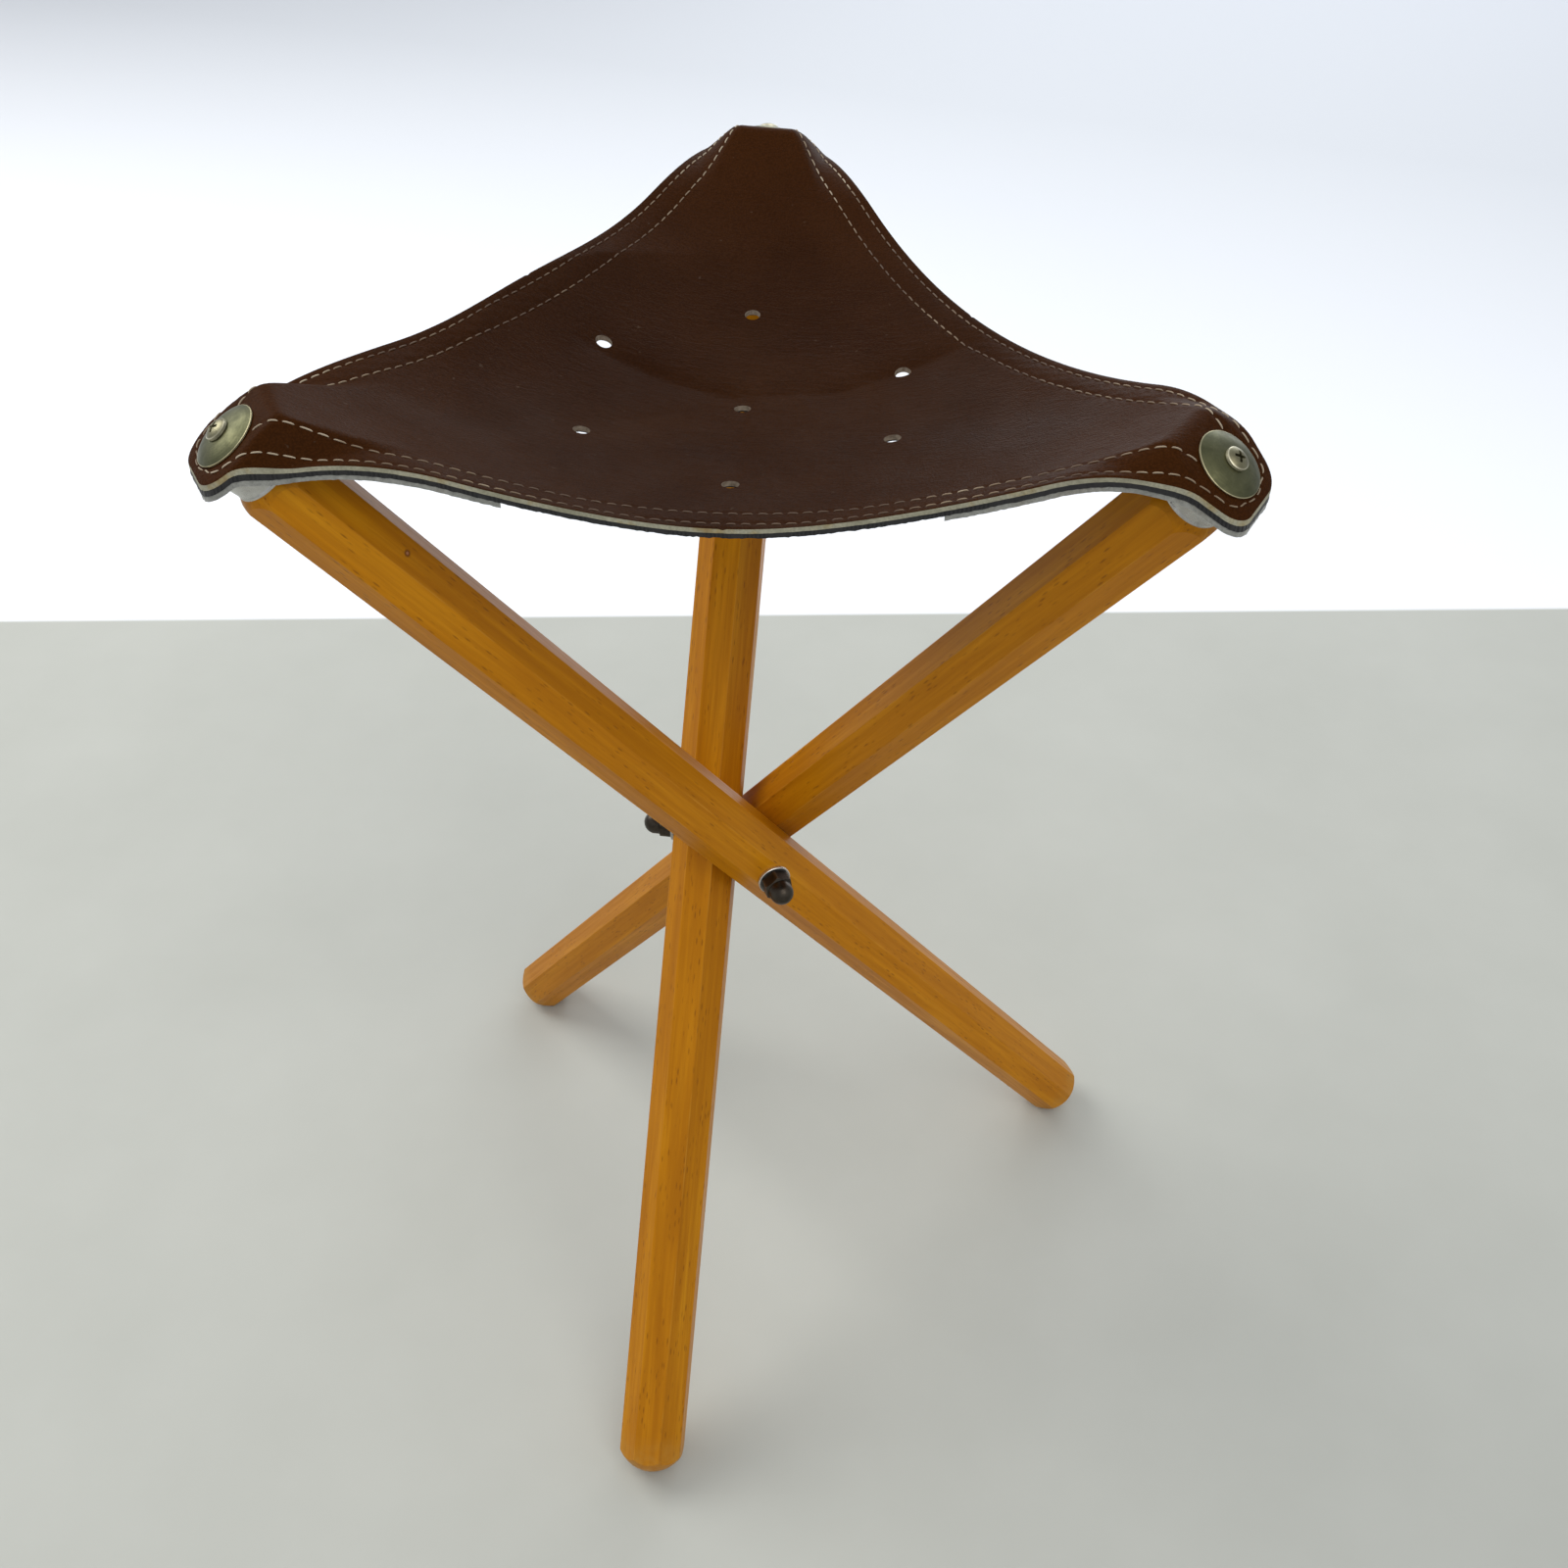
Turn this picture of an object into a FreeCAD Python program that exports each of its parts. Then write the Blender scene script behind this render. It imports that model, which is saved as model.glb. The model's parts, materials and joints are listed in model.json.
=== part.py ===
import FreeCAD, Part
import math
import os

# A folding three-legged stool. Three octagonal wooden legs turn on the three arms of one
# forged bolt, and a leather seat is screwed across their upper ends.
#
# Frame: millimetres, +Z up, the floor at z = 0. The origin is the middle of the stool's
# own box on the floor; the hub axis stands at (hub_x, hub_y). Leg b reaches back at the
# top (+Y), leg a front left and leg c front right. Each leg leans by the splay angle.

os.makedirs("parts", exist_ok=True)

# ---------------------------------------------------------------- driving dimensions
hub_x, hub_y = -9.9, -4.4        # hub axis, measured from the middle of the stool's box
splay = 36.4                     # lean of each open leg from the vertical, degrees
leg_flats = 32.0                 # octagon, across flats
leg_edge_round = 0.8             # softening of the eight long edges
leg_upper = 326.0                # pivot to the wooden shoulder at the top
leg_lower = 342.6                # pivot to the domed tip at the bottom
pivot_offset = 20.9              # hub axis to the leg's centreline, along its bolt arm

foot_dome = 19.0                 # radius of the domed foot
foot_wear = 0.4                  # depth of the flat worn where the dome meets the floor
shoulder_drop = 7.0              # length of the turned bevel at the leg's top
shoulder_radius = 14.4           # wood radius where the bevel ends
tenon_radius = 11.0
tenon_length = 12.0

stud_radius = 4.0                # M8 arms of the three-way bolt
bore_gap = 0.1                   # running clearance of an arm in its leg
boss_radius = 4.3                # middle of the bolt, clear of the legs' inner flats
boss_height = 10.0
thread_gap = 0.05                # radial clearance that stands for a thread
face_gap = 0.2                   # washer to leg, so that the leg turns freely
nut_washer_radius = 8.2
nut_washer_thick = 1.5
nut_flats = 13.0
nut_hex_height = 6.5
nut_height = 15.0
nut_thread_depth = 11.0
nut_dome_radius = 5.9

pad_height = 345.0               # pivot to the leather's upper face, along the leg
leather_thick = 2.2
lining_thick = 1.2
patch_thick = 1.5
layer_gap = 0.1                  # between two layers of the seat
soft_gap = 0.7                   # between the seat and the hard parts on the legs

ferrule_low_radius = 14.1
ferrule_high_radius = 15.2
ferrule_rim = 0.3                # how far the bead at the ferrule's mouth stands out
cup_radius = 13.7                # dished washer under the seat screw
cup_thick = 1.2
cup_rise = 3.2
cup_seat_radius = 5.2            # flat middle of the washer, which the head sits on
screw_radius = 2.5
screw_head_radius = 4.7
screw_head_height = 2.6
screw_length = 45.0
screw_hole = 2.8                 # hole in the washer and in the ferrule

seat_middle_z = 519.0            # leather's upper face at the centre of the dish
dish_radius = 74.0               # a circle on the dish
dish_rise = 8.0                  # height of that circle above the middle
dish_power = 1.95                # how fast the dish climbs with the radius
ridge_blend = 5.0                # rounding where the dish turns over into a corner pad
edge_blend = {"a": 60.0, "b": 54.0, "c": 34.0}     # the same at the seat's slack edges
slack_start, slack_end = 12.0, 30.0                # it grows between these, sideways
edge_middle_radius = 111.0       # hub axis to the middle of a seat edge
edge_arc_radius = 1260.0         # each seat edge is hollow, on this radius
tip_reach = 17.5                 # screw to the seat's tip, along the pad
tip_round = 12.0
edge_lift = {"ab": 14.0, "bc": 0.0, "ca": -6.5}   # uneven stretch of the three edges
vent_radius = 3.5
vent_ring = 71.5                 # circle of the outer vent holes, round the hub axis
vent_turns = (0.0, 60.0, 120.0, 180.0, 240.0, 291.0)   # the last is pulled out of step
leather_screw_hole = 3.0
patch_inner_radius = 125.0       # hub axis to the inner edge of a corner patch
seat_grid = 61                   # points each way across the seat's surfaces
seat_half = 232.0                # half the side of that grid

# ---------------------------------------------------------------- derived values
lean = math.radians(splay)
arm_reach = pivot_offset + leg_flats / 2
hub_z = foot_dome + (leg_lower - foot_dome) * math.cos(lean) - foot_wear
hub = FreeCAD.Vector(hub_x, hub_y, hub_z)
leg_turn = {"b": 0.0, "a": 120.0, "c": 240.0}      # azimuth of each leg's top from +Y
edge_turn = {"ab": 60.0, "ca": 180.0, "bc": 300.0}
pad_across = pad_height * math.sin(lean)
pad_radius = math.hypot(pad_across, pivot_offset)
corner_skew = math.degrees(math.atan2(pivot_offset, pad_across))
tip_radius = pad_radius + tip_reach * math.cos(lean)
pad_z = hub_z + pad_height * math.cos(lean)
lining_depth = leather_thick + layer_gap
patch_depth = lining_depth + lining_thick + layer_gap
seat_depth = patch_depth + patch_thick
ferrule_top = pad_height - seat_depth - soft_gap
ferrule_foot = leg_upper + 0.05
washer_face = pad_height + soft_gap
head_seat = washer_face + cup_rise


def vec(x, y, z=0.0):
    return FreeCAD.Vector(x, y, z)


def polar(radius, degrees):
    """Point on a circle about the hub axis; the angle runs from +Y towards -X."""
    a = math.radians(degrees)
    return vec(-radius * math.sin(a), radius * math.cos(a))


def leg_axes(name):
    """Arm direction, inward side and centreline direction of an open leg."""
    top = polar(1.0, leg_turn[name])
    arm = polar(1.0, leg_turn[name] + 90.0)
    along = top * math.sin(lean) + vec(0, 0, math.cos(lean))
    return arm, along.cross(arm), along


def placement(x_axis, y_axis, z_axis, base):
    return FreeCAD.Placement(FreeCAD.Matrix(
        x_axis.x, y_axis.x, z_axis.x, base.x,
        x_axis.y, y_axis.y, z_axis.y, base.y,
        x_axis.z, y_axis.z, z_axis.z, base.z,
        0, 0, 0, 1))


def on_leg(shape, name):
    """Moves a shape made about +Z, with the pivot at z = 0, onto an open leg."""
    arm, inward, along = leg_axes(name)
    placed = shape.copy()
    placed.Placement = placement(arm, inward, along, hub + arm * pivot_offset)
    return placed


def on_arm(shape, name):
    """Moves a shape made about +Z, with the hub axis at z = 0, onto a bolt arm."""
    arm, inward, along = leg_axes(name)
    placed = shape.copy()
    placed.Placement = placement(along, inward * -1.0, arm, hub)
    return placed


def turned(points):
    """Solid of revolution about +Z. A point is (radius, height); a triple of points
    inside the list is an arc's middle, given as ('arc', radius, height)."""
    edges = []
    start = points[0]
    middle = None
    for point in points[1:] + points[:1]:
        if point[0] == "arc":
            middle = vec(point[1], 0, point[2])
            continue
        a, b = vec(start[0], 0, start[1]), vec(point[0], 0, point[1])
        if middle is not None:
            edges.append(Part.Arc(a, middle, b).toShape())
            middle = None
        else:
            edges.append(Part.LineSegment(a, b).toShape())
        start = point
    face = Part.Face(Part.Wire(edges))
    return face.revolve(vec(0, 0), vec(0, 0, 1), 360)


def prism(sides, across_flats, low, high):
    """Regular prism about +Z with one flat facing +X."""
    radius = across_flats / 2 / math.cos(math.pi / sides)
    corners = []
    for n in range(sides + 1):
        a = math.pi * (2 * n + 1) / sides
        corners.append(vec(radius * math.cos(a), radius * math.sin(a), low))
    return Part.Face(Part.makePolygon(corners)).extrude(vec(0, 0, high - low))


def along_z(shape):
    return [e for e in shape.Edges
            if abs(e.tangentAt(e.FirstParameter).z) > 0.999]


def leg(name):
    """Octagonal leg: domed foot, turned shoulder and tenon, bored for its bolt arm."""
    blank = prism(8, leg_flats, -leg_lower - 1, leg_upper + tenon_length + 1)
    blank = blank.makeFillet(leg_edge_round, along_z(blank))
    outer = leg_flats / 2 / math.cos(math.pi / 8) + 0.2
    dome_middle = -leg_lower + foot_dome
    dome_end = dome_middle - math.sqrt(foot_dome ** 2 - outer ** 2)
    half = math.asin(outer / foot_dome) / 2
    bevel_middle = ((outer + shoulder_radius) / 2 + 0.5, leg_upper - shoulder_drop * 0.45)
    envelope = turned([
        (0, -leg_lower),
        ("arc", foot_dome * math.sin(half), dome_middle - foot_dome * math.cos(half)),
        (outer, dome_end),
        (outer, leg_upper - shoulder_drop),
        ("arc",) + bevel_middle,
        (shoulder_radius, leg_upper),
        (tenon_radius, leg_upper),
        (tenon_radius, leg_upper + tenon_length - 1),
        (tenon_radius - 1, leg_upper + tenon_length),
        (0, leg_upper + tenon_length)])
    body = blank.common(envelope)
    bore = Part.makeCylinder(stud_radius + bore_gap, 2 * leg_flats,
                             vec(-leg_flats, 0), vec(1, 0))
    pilot_depth = head_seat - screw_length - 2
    pilot = Part.makeCylinder(screw_radius + thread_gap, leg_upper,
                              vec(0, 0, pilot_depth))
    body = on_leg(body.cut(bore).cut(pilot), name)
    above_floor = Part.makeBox(1200, 1200, 700, vec(-600, -600, 0))
    return body.common(above_floor)


def ferrule():
    """Flared metal cup over the tenon, with a beaded mouth and a hole for the screw."""
    bead = ferrule_low_radius + ferrule_rim
    cavity = leg_upper + tenon_length + bore_gap
    inner = tenon_radius + bore_gap
    return turned([
        (inner, ferrule_foot),
        (bead, ferrule_foot),
        (bead, ferrule_foot + 0.8),
        (ferrule_low_radius, ferrule_foot + 1.2),
        (ferrule_high_radius, ferrule_top - 0.8),
        ("arc", ferrule_high_radius - 0.25, ferrule_top - 0.25),
        (ferrule_high_radius - 0.8, ferrule_top),
        (screw_hole, ferrule_top),
        (screw_hole, cavity),
        (inner, cavity)])


def cup_washer():
    """Dished finishing washer that clamps a corner of the seat."""
    top = head_seat
    middle = (cup_radius + cup_seat_radius) / 2
    return turned([
        (cup_radius, washer_face),
        (cup_radius, washer_face + 0.5),
        ("arc", middle + 0.3, washer_face + 0.5 + (cup_rise - 0.5) * 0.66),
        (cup_seat_radius, top),
        (screw_hole, top),
        (screw_hole, top - cup_thick),
        (cup_seat_radius, top - cup_thick),
        ("arc", middle, washer_face + (cup_rise - cup_thick) * 0.62),
        (cup_radius - 1.0, washer_face)])


def cross_slot():
    """One arm of the cross recess, narrower at its floor."""
    rings = []
    floor = head_seat + screw_head_height - 1.9
    for length, width, height in ((2.2, 0.7, floor),
                                  (5.2, 1.2, head_seat + screw_head_height + 0.1)):
        corners = [vec(sx * length / 2, sy * width / 2, height)
                   for sx, sy in ((-1, -1), (1, -1), (1, 1), (-1, 1), (-1, -1))]
        rings.append(Part.makePolygon(corners))
    return Part.makeLoft(rings, True, True)


def seat_screw():
    """Raised-head wood screw with a cross recess; its thread is left plain."""
    top = head_seat + screw_head_height
    tip = head_seat - screw_length
    body = turned([
        (0, tip),
        (screw_radius, tip + 5),
        (screw_radius, head_seat),
        (screw_head_radius - 0.2, head_seat),
        (screw_head_radius, head_seat + 0.3),
        (screw_head_radius, head_seat + 1.3),
        ("arc", screw_head_radius * 0.6, top - 0.25),
        (0, top)])
    for turn in (45, 135):
        slot = cross_slot()
        slot.rotate(vec(0, 0), vec(0, 0, 1), turn)
        body = body.cut(slot)
    return body


def three_way_bolt():
    """Three studs forged into one small boss, 120 degrees apart in one level plane."""
    reach = arm_reach + face_gap + nut_washer_thick + nut_thread_depth - 1
    chamfer = 0.8
    body = turned([
        (0, -boss_height / 2),
        (boss_radius - chamfer, -boss_height / 2),
        (boss_radius, -boss_height / 2 + chamfer),
        (boss_radius, boss_height / 2 - chamfer),
        (boss_radius - chamfer, boss_height / 2),
        (0, boss_height / 2)])
    body.translate(hub)
    for name in leg_turn:
        stud = turned([
            (0, 0), (stud_radius, 0), (stud_radius, reach - chamfer),
            (stud_radius - chamfer, reach), (0, reach)])
        body = body.fuse(on_arm(stud, name))
    return body.removeSplitter()


def nut_washer():
    low = arm_reach + face_gap
    high = low + nut_washer_thick
    return turned([
        (stud_radius + 0.3, low),
        (nut_washer_radius, low),
        (nut_washer_radius, high - 0.3),
        (nut_washer_radius - 0.3, high),
        (stud_radius + 0.3, high)])


def cap_nut():
    """Domed hexagon nut with a blind thread."""
    low = arm_reach + face_gap + nut_washer_thick
    corner = nut_flats / 2 / math.cos(math.pi / 6)
    hexagon = prism(6, nut_flats, low, low + nut_height)
    top = low + nut_height
    dome_base = top - nut_dome_radius
    slope = nut_dome_radius * math.sqrt(0.5)
    envelope = turned([
        (0, low), (nut_flats / 2, low), (corner + 0.05, low + 0.6),
        (corner + 0.05, low + nut_hex_height - 0.9),
        (nut_dome_radius, low + nut_hex_height),
        (nut_dome_radius, dome_base),
        ("arc", slope, dome_base + slope),
        (0, top)])
    thread = Part.makeCylinder(stud_radius + thread_gap, nut_thread_depth,
                               vec(0, 0, low))
    return hexagon.common(envelope).cut(thread)


def seat_height(x, y):
    """Leather's upper face above the floor, at (x, y) from the hub axis: a dish that
    climbs with the radius, cut off at each corner by the plane across the leg's end. The
    turn between the two is tight over the leg and slack at the seat's edges."""
    radius = math.hypot(x, y)
    azimuth = math.degrees(math.atan2(-x, y))
    height = seat_middle_z + dish_rise * (radius / dish_radius) ** dish_power
    for edge, lift in edge_lift.items():
        away = (azimuth - edge_turn[edge] - corner_skew + 180) % 360 - 180
        if abs(away) < 60:
            share = min(radius / edge_middle_radius, 1.0)
            height += lift * math.cos(math.radians(away * 1.5)) ** 2 * share ** 3
    for name, turn in leg_turn.items():
        screw = polar(pad_across, turn) + polar(pivot_offset, turn + 90.0)
        top = polar(1.0, turn)
        outward = (x - screw.x) * top.x + (y - screw.y) * top.y
        pad = pad_z - outward * math.tan(lean)
        tip = polar(1.0, turn + corner_skew)
        sideways = abs(y * tip.x - x * tip.y)
        share = min(max((sideways - slack_start) / (slack_end - slack_start), 0.0), 1.0)
        share *= share * (3 - 2 * share)
        blend = ridge_blend + (edge_blend[name] - ridge_blend) * share
        overlap = max(blend - abs(height - pad), 0.0) / blend
        height = min(height, pad) - overlap ** 2 * blend / 4
    return height


def seat_surface(depth):
    """The seat's upper face, sunk by depth along its own normal, as everything below."""
    step = 2 * seat_half / (seat_grid - 1)
    nudge = 0.5
    rows = []
    for i in range(seat_grid):
        row = []
        for j in range(seat_grid):
            x, y = -seat_half + i * step, -seat_half + j * step
            slope_x = (seat_height(x + nudge, y) - seat_height(x - nudge, y)) / (2 * nudge)
            slope_y = (seat_height(x, y + nudge) - seat_height(x, y - nudge)) / (2 * nudge)
            drop = depth * math.sqrt(1 + slope_x ** 2 + slope_y ** 2)
            row.append(vec(x + hub_x, y + hub_y, seat_height(x, y) - drop))
        rows.append(row)
    surface = Part.BSplineSurface()
    surface.interpolate(rows)
    return surface.toShape()


def seat_outline():
    """Prism of the seat's plan: three hollow edges and three short rounded tips."""
    edges = []
    circle_middle = edge_middle_radius + edge_arc_radius
    # Where an edge's circle crosses the straight end of a tip, in the tip's own frame.
    across = circle_middle * math.sin(math.radians(60))
    ahead = circle_middle * math.cos(math.radians(60))
    half_tip = across - math.sqrt(edge_arc_radius ** 2 - (tip_radius - ahead) ** 2)
    half_angle = math.degrees(math.atan2(half_tip, tip_radius))
    reach = math.hypot(half_tip, tip_radius)
    for turn in (0.0, 120.0, 240.0):
        tip = turn + corner_skew
        left = polar(reach, tip + half_angle)
        right = polar(reach, tip - half_angle)
        middle = polar(edge_middle_radius, tip + 60)
        following = polar(reach, tip + 120 - half_angle)
        edges.append(Part.LineSegment(right, left).toShape())
        edges.append(Part.Arc(left, middle, following).toShape())
    base = Part.Face(Part.Wire(edges)).extrude(vec(0, 0, 400))
    base = base.makeFillet(tip_round, along_z(base))
    base.translate(vec(hub_x, hub_y, 300))
    return base


def seat_holes():
    """Seven vent holes through the dish and three screw holes through the pads."""
    holes = [Part.makeCylinder(vent_radius, 400, vec(hub_x, hub_y, 300))]
    for turn in vent_turns:
        place = polar(vent_ring, corner_skew + turn) + vec(hub_x, hub_y, 300)
        holes.append(Part.makeCylinder(vent_radius, 400, place))
    for name in leg_turn:
        hole = Part.makeCylinder(leather_screw_hole, 60, vec(0, 0, pad_height - 30))
        holes.append(on_leg(hole, name))
    return holes


def seat_layer(outline, top_depth, thickness):
    """The part of the outline between two depths below the seat's upper face."""
    down = vec(0, 0, -350)
    below_top = seat_surface(top_depth).extrude(down)
    below_base = seat_surface(top_depth + thickness).extrude(down * 1.2)
    return outline.common(below_top).cut(below_base)


def corner_outline(outline, turn):
    """The outer end of the seat's outline, where a corner patch lies."""
    block = Part.makeBox(400, 400, 500, vec(-200, patch_inner_radius, 250))
    block.rotate(vec(0, 0), vec(0, 0, 1), turn + corner_skew)
    block.translate(vec(hub_x, hub_y))
    return outline.common(block)


def with_holes(shape, holes):
    for hole in holes:
        shape = shape.cut(hole)
    return shape


def build():
    nodes = {"three_way_bolt": three_way_bolt()}
    for name in sorted(leg_turn):
        nodes["leg_" + name] = leg(name)
        nodes["ferrule_" + name] = on_leg(ferrule(), name)
        nodes["cup_washer_" + name] = on_leg(cup_washer(), name)
        nodes["seat_screw_" + name] = on_leg(seat_screw(), name)
        nodes["nut_washer_" + name] = on_arm(nut_washer(), name)
        nodes["cap_nut_" + name] = on_arm(cap_nut(), name)
    outline = seat_outline()
    holes = seat_holes()
    leather = seat_layer(outline, 0.0, leather_thick)
    lining = seat_layer(outline, lining_depth, lining_thick)
    nodes["seat_leather"] = with_holes(leather, holes)
    nodes["seat_lining"] = with_holes(lining, holes)
    for name, turn in leg_turn.items():
        corner = corner_outline(outline, turn)
        patch = seat_layer(corner, patch_depth, patch_thick)
        nodes["corner_patch_" + name] = with_holes(patch, holes)
    return nodes


for node, shape in build().items():
    shape.exportStep("parts/" + node + ".step")
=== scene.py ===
import json
import math
import random

import bpy
import numpy as np
from mathutils import Matrix, Vector, noise
from mathutils.geometry import delaunay_2d_cdt


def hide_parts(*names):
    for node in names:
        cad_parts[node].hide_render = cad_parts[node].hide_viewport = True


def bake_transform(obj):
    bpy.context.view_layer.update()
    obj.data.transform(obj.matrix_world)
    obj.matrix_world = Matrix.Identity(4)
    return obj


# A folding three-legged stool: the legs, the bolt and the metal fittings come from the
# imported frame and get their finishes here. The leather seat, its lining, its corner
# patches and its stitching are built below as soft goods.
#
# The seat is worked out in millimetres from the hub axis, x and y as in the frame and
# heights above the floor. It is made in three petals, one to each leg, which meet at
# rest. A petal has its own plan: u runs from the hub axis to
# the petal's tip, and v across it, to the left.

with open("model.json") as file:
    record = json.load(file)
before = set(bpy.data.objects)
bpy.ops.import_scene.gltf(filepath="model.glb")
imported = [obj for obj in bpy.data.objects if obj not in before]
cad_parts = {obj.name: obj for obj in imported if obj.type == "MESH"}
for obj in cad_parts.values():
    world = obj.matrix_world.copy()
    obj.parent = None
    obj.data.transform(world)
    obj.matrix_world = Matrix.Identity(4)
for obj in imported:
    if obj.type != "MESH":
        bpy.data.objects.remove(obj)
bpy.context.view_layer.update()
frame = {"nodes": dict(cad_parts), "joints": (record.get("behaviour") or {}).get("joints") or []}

MM = 0.001

# ---------------------------------------------------------------- the seat's dimensions
PIVOT_OFFSET = 20.9              # hub axis to a leg's centreline, along its bolt arm
PAD_HEIGHT = 345.0               # pivot to the leather's upper face, along the leg
LEATHER_THICK = 2.2
LINING_THICK = 1.2
PATCH_THICK = 1.5
LAYER_GAP = 0.1
SEAT_MIDDLE_Z = 519.0
DISH_RADIUS = 74.0               # a circle on the dish, and its rise above the middle
DISH_RISE = 8.0
DISH_POWER = 1.95
RIDGE_BLEND = 5.0                # rounding where the dish turns over into a corner pad
EDGE_BLEND = {"a": 60.0, "b": 54.0, "c": 34.0}     # the same at the seat's slack edges
SLACK_START, SLACK_END = 12.0, 30.0                # it grows between these, sideways
EDGE_MIDDLE = 111.0              # hub axis to the middle of a hollow seat edge
EDGE_ARC = 1260.0
TIP_REACH = 17.5                 # screw to the seat's tip, along the pad
TIP_ROUND = 12.0
EDGE_LIFT = {"ab": 14.0, "bc": 0.0, "ca": -6.5}
EDGE_TURN = {"ab": 60.0, "ca": 180.0, "bc": 300.0}
VENT_RING = 71.5                 # circle of the outer vent holes
VENT_RADIUS = 3.5
LINING_VENT = 5.2                # the lining is cut back round them
PULLED_VENT = 51.0               # degrees from leg c's tip to the hole pulled out of step
PLAIN_SEAMS = (("b", -1), ("c", 1))      # so that this seam has no hole in it
SCREW_HOLE = 3.0
PATCH_INNER = 125.0              # hub axis to the inner edge of a corner patch
WASHER_RADIUS = 13.7
ROW_INSETS = (3.8, 12.8)         # the two stitch rows, in from the seat's edge
SPLAY_WIDTH = 3.4                # outside the rows the layers part, this far in
LINING_SPLAY = (0.0, 0.65)       # how far its upper and lower faces drop at the edge
PATCH_SPLAY = (0.65, 1.15)
STITCH_PITCH = 5.5
STITCH_LENGTH = 4.3
THREAD_RADIUS = 0.32
ROW_SINK, ROW_WIDTH = 0.28, 0.8              # groove along a stitch row
SWELL, SWELL_WIDTH = 0.22, 3.0               # rise between the two rows
EDGE_DROP, EDGE_SOFTNESS = 0.5, 0.45         # rounding of the hide's upper edge
RIPPLE, RIPPLE_WIDTH = 0.07, 6.0             # fine waves along the seat's edge
UNDER_WASHER = 0.55                          # rise of the hide to meet a washer
COLLAR, COLLAR_OUT, COLLAR_WIDTH = 0.75, 3.2, 1.9    # ridge squeezed up round a washer
SECTOR = 1.7321                  # slope of a petal's sides, a hair over 60 degrees


class Leg:
    """An open leg's frame, read from its fold joint: arm along the bolt, along up the
    centreline, inward across both, and the plan direction that its top leans to."""

    def __init__(self, joint):
        self.name = joint["child"][-1]
        self.pivot = Vector(joint["pos_m"])
        self.arm = -Vector(joint["axis"]).normalized()
        self.top = Vector((self.arm.y, -self.arm.x, 0))
        self.lean = math.radians(joint["range_deg"][1])
        self.along = self.top * math.sin(self.lean) + Vector((0, 0, math.cos(self.lean)))
        self.inward = self.along.cross(self.arm)
        self.hub = self.pivot - self.arm * PIVOT_OFFSET * MM


legs = {leg.name: leg for leg in (Leg(joint) for joint in frame["joints"])}
hub = legs["a"].hub
lean = legs["a"].lean
pad_across = PAD_HEIGHT * math.sin(lean)
pad_radius = math.hypot(pad_across, PIVOT_OFFSET)
corner_skew = math.degrees(math.atan2(PIVOT_OFFSET, pad_across))
pad_z = hub.z / MM + PAD_HEIGHT * math.cos(lean)
tip_radius = pad_radius + TIP_REACH * math.cos(lean)
circle_u = (EDGE_MIDDLE + EDGE_ARC) * math.cos(math.radians(60))
circle_v = (EDGE_MIDDLE + EDGE_ARC) * math.sin(math.radians(60))
corner_u = tip_radius - TIP_ROUND            # middle of a tip's rounded corner
corner_v = circle_v - math.sqrt((EDGE_ARC + TIP_ROUND) ** 2 - (corner_u - circle_u) ** 2)
corner_turn = math.atan2(circle_v - corner_v, circle_u - corner_u)
LINING_DEPTH = LEATHER_THICK + LAYER_GAP
PATCH_DEPTH = LINING_DEPTH + LINING_THICK + LAYER_GAP


# ---------------------------------------------------------------- the seat's surface
def plan_axes(leg):
    """Unit vectors of a petal's u and v in the frame."""
    u = (leg.top * pad_across + leg.arm * PIVOT_OFFSET).normalized()
    return u, Vector((-u.y, u.x, 0))


def inset(u, v):
    """How far a plan point lies in from the seat's outline."""
    edge = np.hypot(u - circle_u, np.abs(v) - circle_v) - EDGE_ARC
    ahead, aside = u - corner_u, np.abs(v) - corner_v
    rounded = (aside > 0) & (ahead * math.sin(corner_turn) > aside * math.cos(corner_turn))
    return np.where(rounded, TIP_ROUND - np.hypot(ahead, aside), np.minimum(edge, tip_radius - u))


def dish(x, y):
    """Height of the taut leather: a dish that turns over into the three corner pads,
    tightly over each leg and slackly at the seat's edges."""
    radius = np.hypot(x, y)
    azimuth = np.degrees(np.arctan2(-x, y))
    height = SEAT_MIDDLE_Z + DISH_RISE * (radius / DISH_RADIUS) ** DISH_POWER
    for edge, lift in EDGE_LIFT.items():
        away = (azimuth - EDGE_TURN[edge] - corner_skew + 180) % 360 - 180
        swell = np.cos(np.radians(np.clip(away, -60, 60) * 1.5)) ** 2
        height = height + lift * swell * np.minimum(radius / EDGE_MIDDLE, 1) ** 3
    for leg in legs.values():
        screw = leg.top * pad_across + leg.arm * PIVOT_OFFSET
        outward = (x - screw.x) * leg.top.x + (y - screw.y) * leg.top.y
        pad = pad_z - outward * math.tan(lean)
        tip, _ = plan_axes(leg)
        sideways = np.abs(y * tip.x - x * tip.y)
        share = np.clip((sideways - SLACK_START) / (SLACK_END - SLACK_START), 0, 1)
        blend = RIDGE_BLEND + (EDGE_BLEND[leg.name] - RIDGE_BLEND) * share ** 2 * (3 - 2 * share)
        overlap = np.maximum(blend - np.abs(height - pad), 0) / blend
        height = np.minimum(height, pad) - overlap ** 2 * blend / 4
    return height


CREASE = 1.5                     # how far each way a fold's sharp bottom is rounded


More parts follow.
